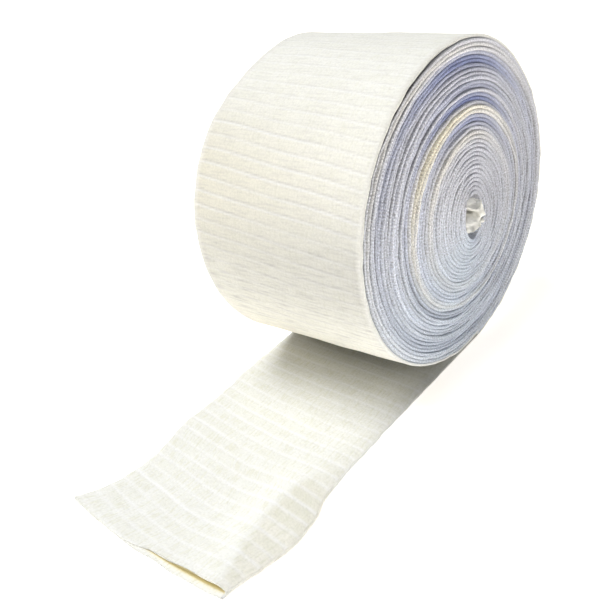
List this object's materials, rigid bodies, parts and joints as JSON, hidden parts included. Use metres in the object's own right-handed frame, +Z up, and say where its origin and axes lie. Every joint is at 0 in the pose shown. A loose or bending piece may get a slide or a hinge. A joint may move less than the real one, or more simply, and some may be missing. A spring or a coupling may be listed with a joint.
{
  "type": "tubular compression bandage",
  "caption": "Elastic knitted tube, pressed flat and wound on itself as a coreless roll, its free end run out with the mouth open, for pulling over a limb as even support.",
  "frame": {"origin": "on the surface that the bandage lies on, under the middle of the roll, where the free end leaves it", "axes": "+X along the roll's axis to the end that shows, -Y the way the free end runs, +Z up"},
  "size_m": [0.1048, 0.2522, 0.1468],
  "materials": {
    "wound_knit": "ribbed cotton and elastic knit, undyed",
    "free_knit": "ribbed cotton and elastic knit, undyed"
  },
  "bodies": {
    "root": {"wound_roll": "wound_knit", "free_end": "free_knit"}
  },
  "joints": []
}
